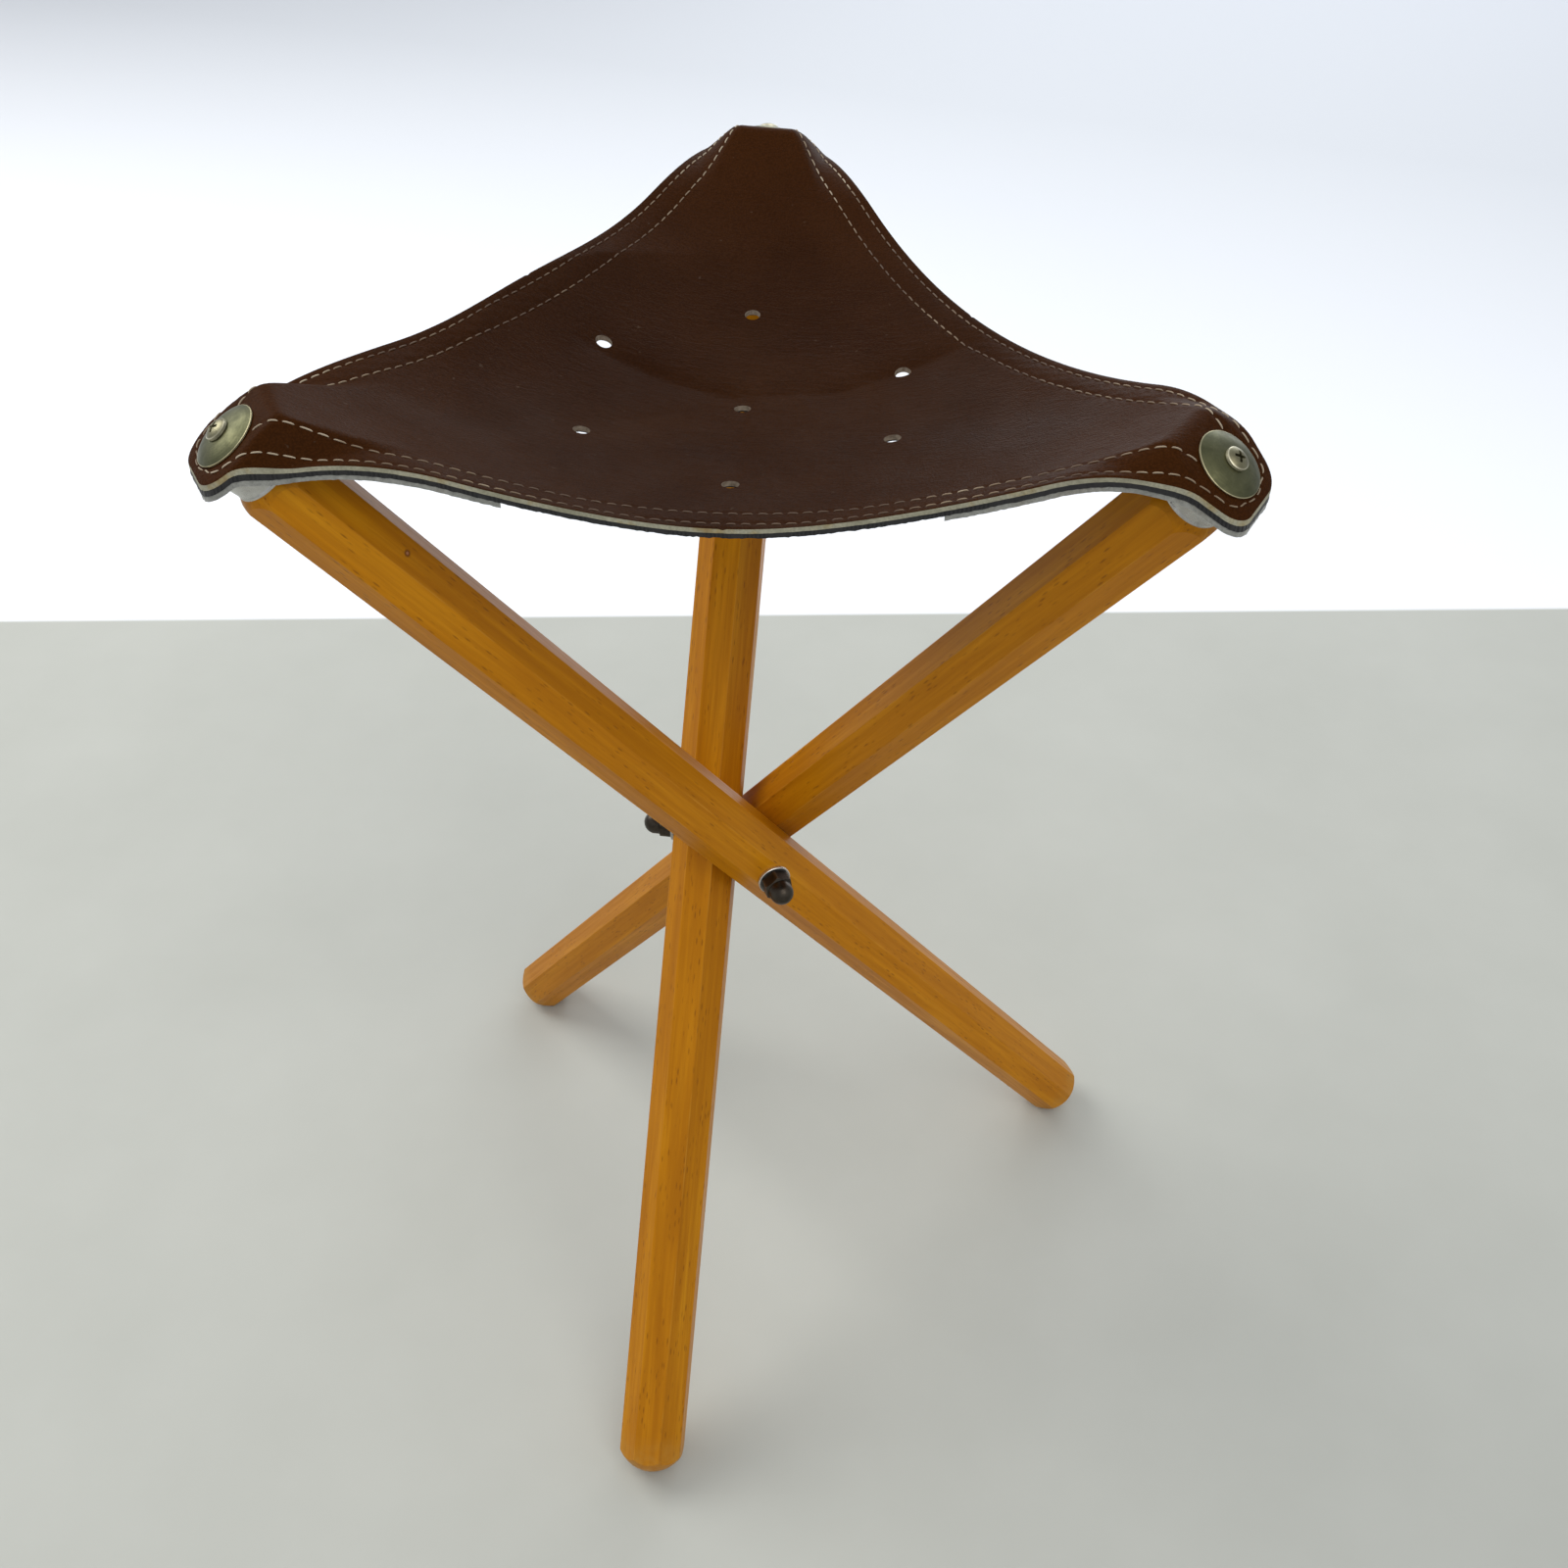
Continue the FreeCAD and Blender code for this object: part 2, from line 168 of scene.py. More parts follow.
def fold(x, y, start, end, depth, width):
    """A valley from start to end, creased along its line, that fades out at both ends."""
    start, end = np.array(start, float), np.array(end, float)
    run = end - start
    length = np.hypot(*run)
    along = ((x - start[0]) * run[0] + (y - start[1]) * run[1]) / length ** 2
    across = ((y - start[1]) * run[0] - (x - start[0]) * run[1]) / length
    fade = np.sin(np.pi * np.clip(along, 0, 1)) ** 0.8
    return -depth * fade * np.exp((CREASE - np.hypot(across, CREASE)) / width)


FOLDS = (                        # start, end, depth and half width, in mm
    ((-78, 26), (6, 8), 2.6, 8.0),
    ((-30, 9), (56, 20), 1.9, 8.0),
    ((24, 12), (96, 48), 3.0, 9.0),
    ((-58, -34), (-8, 2), 0.7, 5.0),
    ((8, -70), (2, -10), 0.5, 9.0),
    ((-24, 62), (-34, 26), 0.4, 7.0),
)


def creases(x, y):
    """Folds worn into the dish, and fine puckers round the middle vent."""
    depth = sum(fold(x, y, *line) for line in FOLDS)
    radius = np.hypot(x, y)
    azimuth = np.arctan2(y, x)
    pucker = np.sin(azimuth * 11 + 0.6) * 0.10 + np.sin(azimuth * 17 + 2.0) * 0.07
    return depth + pucker * np.exp(-((radius - 11) / 8) ** 2)


def relief(x, y, detailed):
    """Creases, and where detailed, as on the leather's upper face, also sunk stitch rows,
    a softened raw edge, and leather squeezed up round each dished washer."""
    height = creases(x, y)
    if not detailed:
        return height
    for leg in legs.values():
        u_axis, v_axis = plan_axes(leg)
        u = x * u_axis.x + y * u_axis.y
        v = x * v_axis.x + y * v_axis.y
        here = (u > 0) & (np.abs(v) < u * SECTOR)
        depth_in = inset(u, v)
        groove = sum(-ROW_SINK * np.exp(-((depth_in - row) / ROW_WIDTH) ** 2)
                     for row in ROW_INSETS)
        between = SWELL * np.exp(-((depth_in - sum(ROW_INSETS) / 2) / SWELL_WIDTH) ** 2)
        edge = -EDGE_DROP * np.exp(-np.maximum(depth_in, 0) / EDGE_SOFTNESS)
        ripple = RIPPLE * np.sin(v * 1.25) * np.exp(-((depth_in - 10) / RIPPLE_WIDTH) ** 2)
        from_rim = np.hypot((u - pad_radius) / math.cos(lean), v) - WASHER_RADIUS
        under = UNDER_WASHER / (1 + np.exp((from_rim - 0.6) * 2.2))
        ahead = np.cos(np.arctan2(v, u - pad_radius))
        ridge = COLLAR * np.exp(-((from_rim - COLLAR_OUT) / COLLAR_WIDTH) ** 2)
        ridge = ridge * np.clip(depth_in / 4, 0, 1) * (0.6 + 0.4 * ahead)
        height = height + np.where(here, groove + between + edge + ripple + under + ridge, 0)
    return height


def surface(x, y, detailed):
    """A seat layer's guiding surface: its height, its unit normals, and how much larger
    it is than its plan."""
    def level(a, b):
        return dish(a, b) + relief(a, b, detailed)
    nudge = 0.4
    slope_x = (level(x + nudge, y) - level(x - nudge, y)) / (2 * nudge)
    slope_y = (level(x, y + nudge) - level(x, y - nudge)) / (2 * nudge)
    stretch = np.sqrt(1 + slope_x ** 2 + slope_y ** 2)
    normals = np.stack([-slope_x, -slope_y, np.ones_like(x)], 1) / stretch[:, None]
    return level(x, y), normals, stretch


# ---------------------------------------------------------------- the seat's plan
def arc(middle, radius, start, stop, spacing):
    """Points on a circle from one angle to another, in degrees."""
    steps = max(2, round(abs(math.radians(stop - start)) * radius / spacing))
    angles = [math.radians(start + (stop - start) * n / steps) for n in range(steps + 1)]
    return [(middle[0] + radius * math.cos(a), middle[1] + radius * math.sin(a))
            for a in angles]


def line(start, stop, spacing):
    """Evenly spaced points on a straight line."""
    steps = max(1, round(math.dist(start, stop) / spacing))
    return [(start[0] + (stop[0] - start[0]) * n / steps,
             start[1] + (stop[1] - start[1]) * n / steps) for n in range(steps + 1)]


def joined(*runs):
    """One run of points out of several, without the repeated ends."""
    points = []
    for run in runs:
        points += [p for p in run if not points or math.dist(p, points[-1]) > 1e-6]
    return points


def half_outline(depth, spacing):
    """The line at a depth inside the outline, from the tip's middle round the rounded
    corner and along the hollow edge to its middle."""
    rounding = max(TIP_ROUND - depth, 0.4)
    reach = EDGE_ARC + depth
    u = tip_radius - depth - rounding
    v = circle_v - math.sqrt((reach + rounding) ** 2 - (u - circle_u) ** 2)
    turn = math.degrees(math.atan2(circle_v - v, circle_u - u))
    return joined(line((u + rounding, 0), (u + rounding, v), spacing),
                  arc((u, v), rounding, 0, turn, min(spacing, 0.9)),
                  arc((circle_u, circle_v), reach, turn + 180, 240, spacing))


def vents(name, radius):
    """A petal's vent holes as u, v and radius: those cut by its seams, and those inside."""
    side = math.radians(60)
    shared = [(0.0, 0.0, radius)] + [
        (VENT_RING * math.cos(side), VENT_RING * math.sin(side) * hand, radius)
        for hand in (1, -1) if (name, hand) not in PLAIN_SEAMS]
    inside = [(VENT_RING, 0.0, radius)]
    if name == "c":
        turn = math.radians(PULLED_VENT)
        inside.append((VENT_RING * math.cos(turn), VENT_RING * math.sin(turn), radius))
    return shared, inside


def seam(hand, spacing, radius, plain):
    """The straight side of a petal from the hub axis outwards, 60 degrees to one hand. It
    steps round the half of the vent hole that lies in it, unless it is a plain one."""
    ray = math.radians(60 * hand)
    across = (math.sin(ray) * hand, -math.cos(ray) * hand)

    def at(distance, sideways=0.0):
        return (math.cos(ray) * distance + across[0] * sideways,
                math.sin(ray) * distance + across[1] * sideways)
    if plain:
        return line(at(radius), at(EDGE_MIDDLE), spacing)
    notch = [at(VENT_RING - radius * math.cos(a), radius * math.sin(a))
             for a in (math.pi * n / 14 for n in range(15))]
    return joined(line(at(radius), at(VENT_RING - radius), spacing), notch,
                  line(at(VENT_RING + radius), at(EDGE_MIDDLE), spacing))


def mirrored(points):
    """The same points on a petal's other side."""
    return [(u, -v) for u, v in points]


def petal_boundary(name, spacing, radius):
    """A whole petal's outline, anticlockwise from the middle vent."""
    left = half_outline(0, spacing)
    right_seam, left_seam = (seam(hand, 2.4, radius, (name, hand) in PLAIN_SEAMS)
                             for hand in (-1, 1))
    return joined(right_seam, mirrored(left)[::-1], left, left_seam[::-1],
                  arc((0, 0), radius, 60, -60, 0.5))[:-1]


def patch_boundary(spacing):
    """A corner patch's outline: the petal's tip, cut across by a hand-cut line."""
    left = [p for p in half_outline(0.25, spacing) if p[0] > PATCH_INNER]
    start, stop = left[-1], (left[-1][0], -left[-1][1])
    cut = [(u + 0.9 * math.sin(v * 0.11) + 0.5 * math.sin(v * 0.37 + 1), v)
           for u, v in line(start, stop, spacing)][1:-1]
    return joined(mirrored(left)[::-1], left, cut)


def hexagonal(spacing, low_u):
    """An even field of points over the inside of a petal."""
    points = []
    row_gap = spacing * math.sqrt(0.75)
    reach = math.ceil(EDGE_MIDDLE / spacing)
    for row in range(int((tip_radius - low_u) / row_gap)):
        u = low_u + row * row_gap
        for n in range(-reach, reach + 1):
            points.append((u, (n + 0.5 * (row % 2)) * spacing))
    return points


RIM_SPACING = 0.55               # between the points round a hole
RIM_COLLAR = 1.6                 # from a hole's rim to the ring of points round it
SEAM_MARGIN, HOLE_MARGIN = 1.1, 0.9      # kept clear of points beside seams and holes


def plan(boundary, spacing, depths, ring_spacing, low_u=1.0, holes=(), notches=()):
    """Triangles over a boundary: finer rows along the outline, an even field inside, and
    round holes left out. Returns the points and the triangles' corners."""
    ring = [p for depth in depths for half in [half_outline(depth, ring_spacing)]
            for p in half + mirrored(half)[1:]]
    deepest = max(depths) + spacing * 0.6
    field = [p for p in hexagonal(spacing, low_u) if inset(p[0], p[1]) > deepest]
    rims = [arc((u, v), radius, 0, 360, RIM_SPACING)[:-1] for u, v, radius in holes]
    collars = [p for u, v, radius in holes
               for p in arc((u, v), radius + RIM_COLLAR, 0, 360, RIM_COLLAR)[:-1]]
    kept = []
    side = math.radians(60)
    for u, v in ring + field + collars:
        from_seam = u * math.sin(side) - abs(v) * math.cos(side)
        if from_seam > SEAM_MARGIN and u > low_u and all(
                math.dist((u, v), gap[:2]) > gap[2] + HOLE_MARGIN
                for gap in (*holes, *notches)):
            kept.append((u, v))
    points = boundary + [p for rim in rims for p in rim] + kept
    loops, first = [], 0
    for loop in [boundary] + rims:
        loops.append(list(range(first, first + len(loop))))
        first += len(loop)
    edges = [(loop[n], loop[(n + 1) % len(loop)]) for loop in loops[1:]
             for n in range(len(loop))]
    found = delaunay_2d_cdt([Vector(p) for p in points], edges, [loops[0]], 1, 1e-5)
    flat = np.array([tuple(p) for p in found[0]])
    triangles = []
    for face in found[2]:
        middle = flat[list(face)].mean(0)
        if all(math.dist(middle, gap[:2]) > gap[2] * 0.98 for gap in holes):
            triangles.append(face)
    return flat, triangles


def in_frame(leg, flat):
    """A petal's plan points as x and y from the hub axis."""
    u_axis, v_axis = plan_axes(leg)
    return (flat[:, 0] * u_axis.x + flat[:, 1] * v_axis.x,
            flat[:, 0] * u_axis.y + flat[:, 1] * v_axis.y)


def to_metres(points):
    """Points in mm from the hub axis as places in the frame."""
    return points * MM + np.array([hub.x, hub.y, 0])


def new_object(name, points, faces, normals, materials, face_materials):
    """A mesh object from points in mm, with a normal for each face corner."""
    mesh = bpy.data.meshes.new(name)
    mesh.from_pydata(to_metres(points).tolist(), [], faces)
    for material in materials:
        mesh.materials.append(material)
    mesh.polygons.foreach_set("material_index", face_materials)
    mesh.polygons.foreach_set("use_smooth", [True] * len(faces))
    mesh.normals_split_custom_set(normals)
    obj = bpy.data.objects.new(name, mesh)
    bpy.context.scene.collection.objects.link(obj)
    return obj


def open_edges(triangles):
    """The edges that only one triangle has, each in that triangle's direction."""
    uses = {}
    for a, b, c in triangles:
        for edge in ((a, b), (b, c), (c, a)):
            uses[frozenset(edge)] = None if frozenset(edge) in uses else edge
    return [edge for edge in uses.values() if edge]


def layer(name, leg, shape, top, base, splay, rough, materials, seed):
    """One petal of a seat layer, closed all round. top and base are its faces' depths
    below the guiding surface, and splay is how much lower they are at the seat's edge;
    rough is how ragged the cut edge is. The faces over and under take the first
    material, the cut edge the second and other sides the third."""
    flat, triangles = shape
    x, y = in_frame(leg, flat)
    height, up, stretch = surface(x, y, top == 0)
    under, down, under_stretch = surface(x, y, False)
    loose = np.clip(1 - inset(flat[:, 0], flat[:, 1]) / SPLAY_WIDTH, 0, 1) ** 2
    upper = np.stack([x, y, height - (top + splay[0] * loose) * stretch], 1)
    lower = np.stack([x, y, under - (base + splay[1] * loose) * under_stretch], 1)
    count = len(flat)
    rim = open_edges(triangles)
    faces = [tuple(t) for t in triangles] + [tuple(i + count for i in t[::-1])
                                             for t in triangles]
    normals = [up[i] for t in triangles for i in t] + [-down[i] for t in triangles
                                                       for i in t[::-1]]
    kinds = [0] * len(faces)
    middle_of = {}
    for a, b in rim:                     # a row halfway down the cut edge, left ragged
        for i in (a, b):
            if i not in middle_of:
                middle_of[i] = 2 * count + len(middle_of)
    middle = np.array([(upper[i] + lower[i]) / 2 for i in middle_of])
    outer = {i for i in middle_of if inset(flat[i][0], flat[i][1]) < 0.4}
    for row, i in enumerate(middle_of):
        if i in outer:
            side = Vector((x[i], y[i], 0)).normalized()
            fray = noise.noise(Vector((x[i], y[i], seed * 37.0)) * 0.8)
            fine = noise.noise(Vector((x[i], y[i], seed * 11.0)) * 2.7)
            push = np.array(side) * (0.10 + rough * (0.5 * fray + fine))
            middle[row] += push
            lower[i] += push * 0.6 + np.array([0, 0, -1]) * rough * 0.5 * fine
            upper[i] += np.array(side) * rough * 0.25 * fray
    for a, b in rim:
        run = np.array([x[b] - x[a], y[b] - y[a], 0.0])
        side = np.array([run[1], -run[0], 0.0]) / max(np.hypot(*run[:2]), 1e-9)
        for face in ((a, middle_of[a], middle_of[b], b),
                     (middle_of[a], a + count, b + count, middle_of[b])):
            faces.append(face)
            normals += [side] * 4
            kinds.append(1 if a in outer else 2)
    return new_object(name, np.concatenate([upper, lower, middle]), faces,
                      [tuple(n) for n in normals], materials, kinds)


def tube(centres, across, up, girth, first):
    """A closed tube round a run of centres. Returns its points, their normals and its
    faces, whose points are numbered from first."""
    rings, segments = len(centres), 8
    points, normals, faces = [], [], []
    for ring in range(rings):
        for k in range(segments):
            a = 2 * math.pi * k / segments
            out = across[ring] * math.cos(a) + up[ring] * math.sin(a)
            points.append(centres[ring] + out * girth[ring])
            normals.append(out)
    for ring in range(rings - 1):
        for k in range(segments):
            low, high = first + ring * segments, first + (ring + 1) * segments
            near, far = k, (k + 1) % segments
            faces.append((low + near, low + far, high + far, high + near))
    last = first + (rings - 1) * segments
    faces.append(tuple(first + k for k in range(segments))[::-1])
    faces.append(tuple(last + k for k in range(segments)))
    return points, normals, faces


def stitches(name, leg, material, seed):
    """Both rows of stitches on one petal, each a short bowed length of thread."""
    random.seed(seed)
    share = np.linspace(-1, 1, 7)        # along a stitch, which dives in at both ends
    bow = 0.24 * np.sqrt(np.clip(1 - share ** 2, 0, 1)) - 0.30 * np.abs(share) ** 6
    girth = THREAD_RADIUS * (0.55 + 0.45 * np.sqrt(np.clip(1 - share ** 4, 0, 1)))
    points, faces, normals = [], [], []
    for depth in ROW_INSETS:
        for side in (1, -1):
            path = np.array(half_outline(depth, 0.8)) * (1, side)
            steps = np.hypot(*np.diff(path, axis=0).T)
            travelled = np.concatenate([[0], np.cumsum(steps)])
            cells = round(travelled[-1] / STITCH_PITCH)
            cell = travelled[-1] / cells
            for n in range(cells):
                half = STITCH_LENGTH / 2 * random.uniform(0.92, 1.06)
                middle = (n + 0.5) * cell + random.uniform(-0.15, 0.15)
                aside = random.uniform(-0.12, 0.12)
                stops = middle + half * share
                u = np.interp(stops, travelled, path[:, 0])
                v = np.interp(stops, travelled, path[:, 1]) + aside * share
                gone = np.hypot((u - pad_radius) / math.cos(lean), v)
                if depth == ROW_INSETS[0]:       # this row steps out round the washer
                    push = np.maximum(1, (WASHER_RADIUS + 1.2) / gone)
                    u, v, gone = pad_radius + (u - pad_radius) * push, v * push, gone * push
                if gone.min() < WASHER_RADIUS + 0.8:
                    continue
                x, y = in_frame(leg, np.stack([u, v], 1))
                height, up, _ = surface(x, y, True)
                centres = np.stack([x, y, height], 1) + up * bow[:, None]
                ahead = np.gradient(centres, axis=0)
                ahead /= np.linalg.norm(ahead, axis=1)[:, None]
                thread = tube(centres, np.cross(up, ahead), up, girth, len(points))
                points += thread[0]
                normals += thread[1]
                faces += thread[2]
    corner_normals = [tuple(normals[i]) for face in faces for i in face]
    return new_object(name, np.array(points), faces, corner_normals, [material],
                      [0] * len(faces))


# ---------------------------------------------------------------- materials
def node(tree, kind, settings=None, **inputs):
    """A shader node with its settings and its inputs, which are values or sockets."""
    made = tree.nodes.new("ShaderNode" + kind)
    for name, value in (settings or {}).items():
        setattr(made, name, value)
    for name, value in inputs.items():
        connect(tree, made.inputs[name.replace("_", " ")], value)
    return made


def connect(tree, socket, value):
    if isinstance(value, bpy.types.NodeSocket):
        tree.links.new(value, socket)
    else:
        socket.default_value = value


def maths(tree, operation, *values):
    """The result of a math node on values or sockets."""
    made = tree.nodes.new("ShaderNodeMath")
    made.operation = operation
    for socket, value in zip(made.inputs, values):
        connect(tree, socket, value)
    return made.outputs[0]


def blended(tree, share, low, high, mode="MIX"):
    """One colour over another by a share from 0 to 1."""
    made = tree.nodes.new("ShaderNodeMix")
    made.data_type, made.blend_type = "RGBA", mode
    connect(tree, made.inputs[0], share)
    connect(tree, made.inputs[6], low)
    connect(tree, made.inputs[7], high)
    return made.outputs[2]


def shaded(tree, colour, level):
    """A colour multiplied by a grey level."""
    grey = node(tree, "CombineColor", Red=level, Green=level, Blue=level).outputs[0]
    return blended(tree, 1.0, colour, grey, "MULTIPLY")


def distance(tree, place, point):
    """Distance from a point of the object, in metres."""
    made = tree.nodes.new("ShaderNodeVectorMath")
    made.operation = "DISTANCE"
    connect(tree, made.inputs[0], place)
    connect(tree, made.inputs[1], point)
    return made.outputs["Value"]


def ramp(tree, share, *stops):
    """A colour ramp; a stop is a place from 0 to 1 and a colour or a grey level."""
    made = tree.nodes.new("ShaderNodeValToRGB")
    connect(tree, made.inputs[0], share)
    band = made.color_ramp
    while len(band.elements) < len(stops):
        band.elements.new(0.5)
    for element, (place, colour) in zip(band.elements, stops):
        element.position = place
        grey = isinstance(colour, (int, float))
        element.color = (colour,) * 3 + (1,) if grey else tuple(colour) + (1,)
    return made.outputs[0]


def spread(tree, value, low, high, to_low=0.0, to_high=1.0):
    """A value stretched from one range to another, and held inside it."""
    return node(tree, "MapRange", Value=value, From_Min=low, From_Max=high,
                To_Min=to_low, To_Max=to_high).outputs[0]


def grain(tree, place, scale, detail=3.0, rough=0.5, distortion=0.0):
    return node(tree, "TexNoise", Vector=place, Scale=scale, Detail=detail,
                Roughness=rough, Distortion=distortion).outputs["Fac"]


def begin(name, **constants):
    """A material with a principled shader: constants that are the same all over."""
    material = bpy.data.materials.new(name)
    material.use_nodes = True
    tree = material.node_tree
    shader = tree.nodes["Principled BSDF"]
    for key, value in constants.items():
        shader.inputs[key.replace("_", " ")].default_value = value
    place = tree.nodes.new("ShaderNodeTexCoord").outputs["Object"]
    return material, tree, shader, place


def bump(tree, shader, *layers):
    """Bumps of a strength and a height in metres, laid one over another."""
    normal = None
    for height, strength, distance in layers:
        made = node(tree, "Bump", Height=height, Strength=strength, Distance=distance)
        if normal is not None:
            tree.links.new(normal, made.inputs["Normal"])
        normal = made.outputs[0]
    tree.links.new(normal, shader.inputs["Normal"])


def turned_to(tree, place, leg):
    """Object coordinates turned to a leg: x along its bolt arm, y inward, z up it."""
    turn = Matrix((leg.arm, leg.inward, leg.along))
    shift = turn @ leg.pivot * -1
    return node(tree, "Mapping", {"vector_type": "POINT"}, Vector=place,
                Location=shift, Rotation=turn.to_euler()).outputs[0]


def seat_reach(tree, place):
    """Distance from the middle of the seat, in metres."""
    return distance(tree, place, (hub.x, hub.y, SEAT_MIDDLE_Z * MM))


def leather_material():
    """Dark brown grained hide, warmer towards the corners, with a low sheen and fine
    wrinkles that lie across it, deepest round the middle."""
    material, tree, shader, place = begin("seat_leather", Specular_IOR_Level=0.015)
    blotch = grain(tree, place, 16, 4, 0.6)
    reach = seat_reach(tree, place)
    corner = spread(tree, maths(tree, "ADD", reach, maths(tree, "MULTIPLY", blotch, 0.05)),
                    0.125, 0.235)
    brown = ramp(tree, blotch, (0.30, (0.0245, 0.0078, 0.0020)),
                 (0.52, (0.0300, 0.0102, 0.0030)), (0.74, (0.0360, 0.0132, 0.0046)))
    warm = blended(tree, corner, brown, (0.042, 0.0130, 0.0026, 1))
    pores = node(tree, "TexVoronoi", {"feature": "F1"}, Vector=place, Scale=1150.0,
                 Randomness=1.0).outputs["Distance"]
    hide = grain(tree, place, 420, 4, 0.62, 0.4)
    drawn = node(tree, "Mapping", Vector=place, Scale=(110, 420, 420)).outputs[0]
    wrinkle = maths(tree, "MULTIPLY", grain(tree, drawn, 1.0, 4, 0.6, 0.8),
                    spread(tree, reach, 0.025, 0.110, 1.0, 0.35))
    tone = shaded(tree, warm, spread(tree, pores, 0.15, 0.75, 1.12, 0.78))
    speck = spread(tree, grain(tree, place, 260, 2, 0.5), 0.735, 0.775)
    dusty = blended(tree, maths(tree, "MULTIPLY", speck, 0.25), tone, (0.12, 0.09, 0.065, 1))
    tree.links.new(dusty, shader.inputs["Base Color"])
    tree.links.new(spread(tree, grain(tree, place, 38, 4, 0.6), 0.3, 0.7, 0.38, 0.50),
                   shader.inputs["Roughness"])
    bump(tree, shader, (wrinkle, 0.55, 0.0011), (hide, 0.40, 0.0005), (pores, 0.30, 0.0003))
    return material


def raw_edge_material():
    """The hide's cut edge: pale fibre with yellow and rust stains."""
    material, tree, shader, place = begin("raw_edge", Roughness=0.86)
    stain = grain(tree, place, 46, 4, 0.65)
    fibre = grain(tree, place, 900, 3, 0.7)
    pale = ramp(tree, stain, (0.34, (0.30, 0.285, 0.20)), (0.52, (0.40, 0.38, 0.28)),
                (0.62, (0.36, 0.29, 0.15)), (0.70, (0.24, 0.14, 0.055)))
    mottled = shaded(tree, pale, spread(tree, fibre, 0.3, 0.7, 0.72, 1.12))
    tree.links.new(mottled, shader.inputs["Base Color"])
    bump(tree, shader, (fibre, 0.6, 0.0006))
    return material


def vent_wall_material():
    """The hide inside a punched hole: brown fibre, coloured darker than the seat's cut edge as
    painted shade inside the hole.
    """
    material, tree, shader, place = begin("vent_wall", Roughness=0.9)
    fibre = grain(tree, place, 500, 3, 0.6)
    # painted shade: the hole's wall is coloured darker than the cut edge of the same hide
    tree.links.new(ramp(tree, fibre, (0.35, (0.13, 0.095, 0.065)), (0.65, (0.26, 0.21, 0.16))),
                   shader.inputs["Base Color"])
    return material


def lining_material():
    """Black woven lining with a fine plain weave."""
    material, tree, shader, place = begin("black_lining", Roughness=0.92,
                                          Sheen_Weight=0.15)
    waves = []
    for axis in "XY":
        wave = node(tree, "TexWave", {"bands_direction": axis}, Vector=place, Scale=210.0,
                    Distortion=0.6, Detail=2.0).outputs["Fac"]
        waves.append(wave)
    weave = maths(tree, "MAXIMUM", *waves)
    fluff = grain(tree, place, 700, 3, 0.7)
    shade = ramp(tree, maths(tree, "MULTIPLY", weave, fluff), (0.1, (0.006, 0.006, 0.007)),
                 (0.6, (0.022, 0.021, 0.022)))
    tree.links.new(shade, shader.inputs["Base Color"])
    bump(tree, shader, (weave, 0.5, 0.0004), (fluff, 0.4, 0.0003))
    return material


def suede_material():
    """Grey napped suede, rubbed lighter in patches."""
    material, tree, shader, place = begin("grey_suede", Roughness=0.95, Sheen_Weight=0.35,
                                          Sheen_Roughness=0.5)
    nap = grain(tree, place, 620, 4, 0.7)
    cloud = grain(tree, place, 60, 4, 0.6)
    grey = ramp(tree, cloud, (0.3, (0.22, 0.22, 0.20)), (0.55, (0.31, 0.31, 0.285)),
                (0.75, (0.26, 0.24, 0.20)))
    mottled = shaded(tree, grey, spread(tree, nap, 0.3, 0.7, 0.70, 1.18))
    tree.links.new(mottled, shader.inputs["Base Color"])
    bump(tree, shader, (nap, 0.7, 0.0006), (cloud, 0.3, 0.0008))
    return material


def thread_material():
    """Waxed tan thread, dirty where the seat is sat on and cleaner at its corners."""
    material, tree, shader, place = begin("seat_thread", Roughness=0.66)
    clean = spread(tree, seat_reach(tree, place), 0.120, 0.205, -0.16, 0.16)
    grime = maths(tree, "ADD", grain(tree, place, 26, 3, 0.6), clean)
    fibre = grain(tree, place, 2600, 2, 0.6)
    tan = ramp(tree, grime, (0.34, (0.100, 0.060, 0.036)), (0.54, (0.24, 0.170, 0.105)),
               (0.70, (0.44, 0.36, 0.255)))
    tree.links.new(tan, shader.inputs["Base Color"])
    bump(tree, shader, (fibre, 0.4, 0.0002))
    return material


KNOT = (0.0111, 0.0116, 0.268)   # a small knot on leg a, from its pivot, in metres


